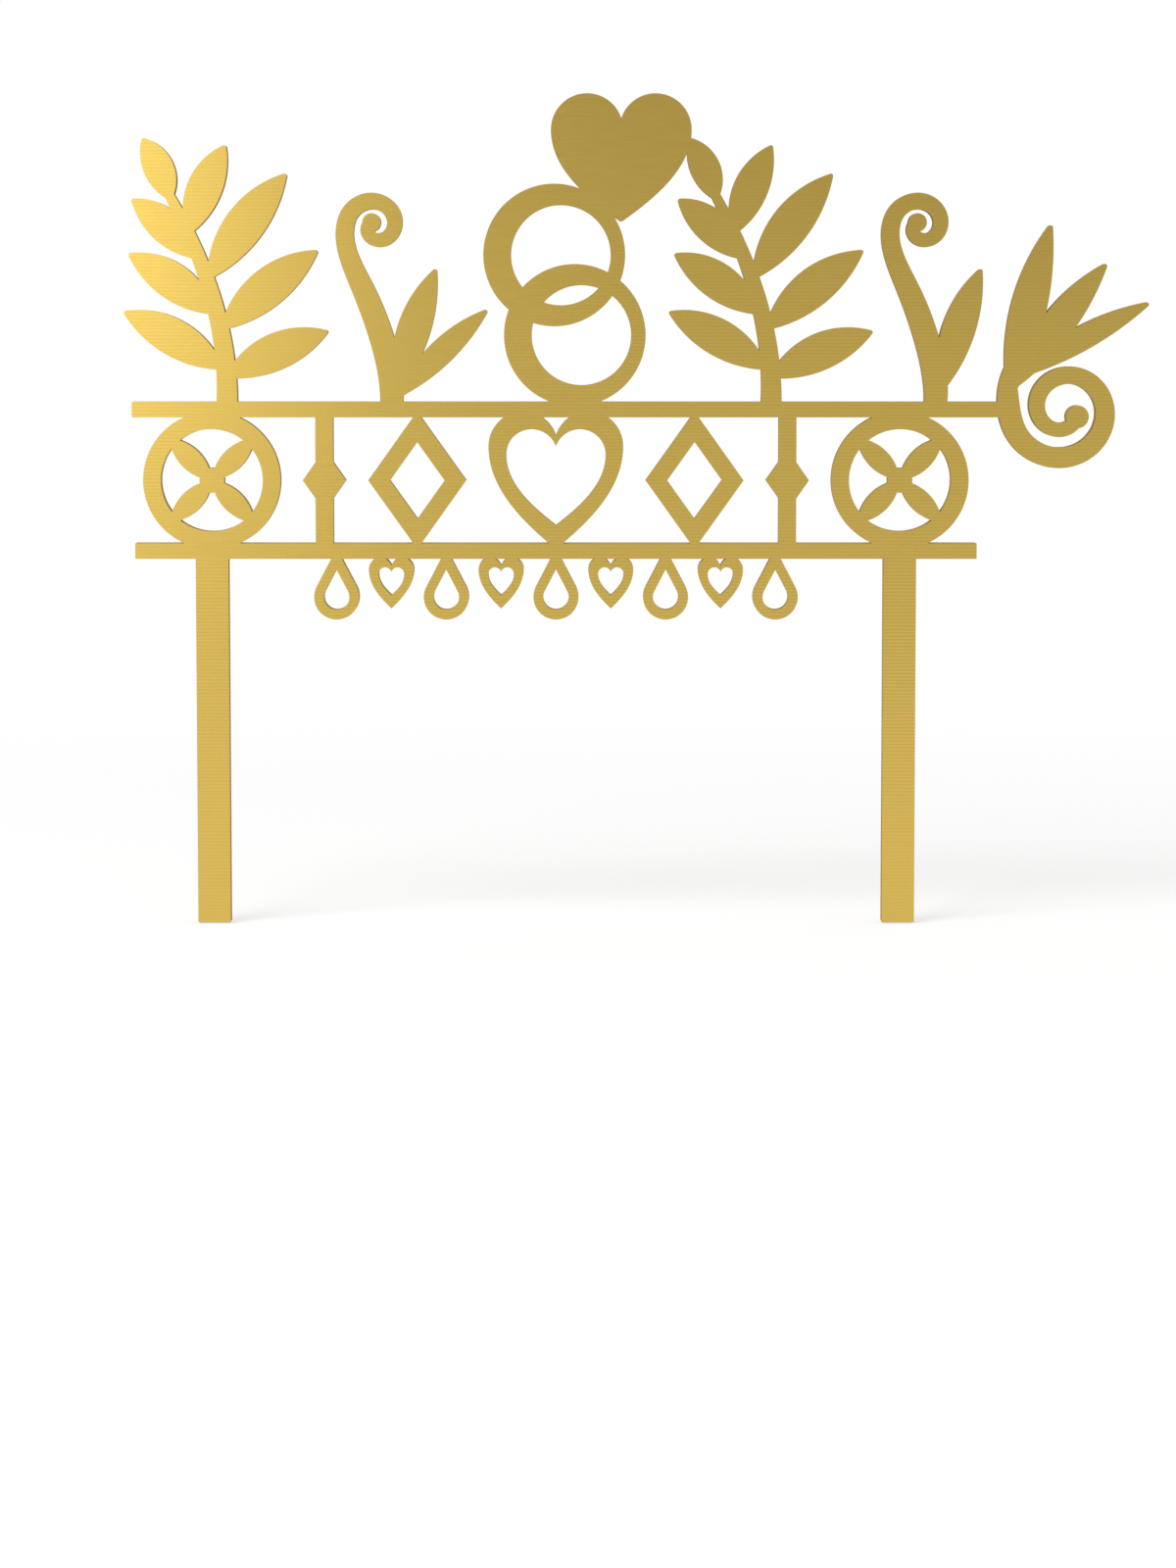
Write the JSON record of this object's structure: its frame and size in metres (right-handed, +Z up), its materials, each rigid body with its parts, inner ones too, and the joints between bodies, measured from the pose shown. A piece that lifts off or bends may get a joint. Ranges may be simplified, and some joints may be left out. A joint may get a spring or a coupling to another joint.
{
  "type": "cake topper",
  "caption": "Flat gold acrylic wedding cake topper: leaf sprays, linked rings and a heart stand on rails that hold a band of cut-out figures, over flat stakes that push into a cake.",
  "frame": {"origin": "midway between the lower ends of the two stakes, in the middle of the sheet's thickness", "axes": "+X to the viewer's right along the rails, +Y from the front face to the back face, +Z up the stakes"},
  "size_m": [0.1562, 0.003, 0.1267],
  "materials": {
    "gold_acrylic": "brushed gold metallised face on acrylic sheet, with dark laser-cut edges"
  },
  "bodies": {
    "root": {"left_stake": "gold_acrylic", "right_stake": "gold_acrylic", "lower_rail": "gold_acrylic", "upper_rail": "gold_acrylic", "end_scroll": "gold_acrylic", "heart": "gold_acrylic", "lower_ring": "gold_acrylic", "upper_ring": "gold_acrylic", "left_leaf_spray": "gold_acrylic", "right_leaf_spray": "gold_acrylic", "left_tendril": "gold_acrylic", "right_tendril": "gold_acrylic", "left_rosette": "gold_acrylic", "left_post": "gold_acrylic", "left_lozenge": "gold_acrylic", "heart_frame": "gold_acrylic", "right_lozenge": "gold_acrylic", "right_post": "gold_acrylic", "right_rosette": "gold_acrylic", "drop_pendant_1": "gold_acrylic", "drop_pendant_2": "gold_acrylic", "drop_pendant_3": "gold_acrylic", "drop_pendant_4": "gold_acrylic", "drop_pendant_5": "gold_acrylic", "heart_pendant_1": "gold_acrylic", "heart_pendant_2": "gold_acrylic", "heart_pendant_3": "gold_acrylic", "heart_pendant_4": "gold_acrylic"}
  },
  "joints": []
}
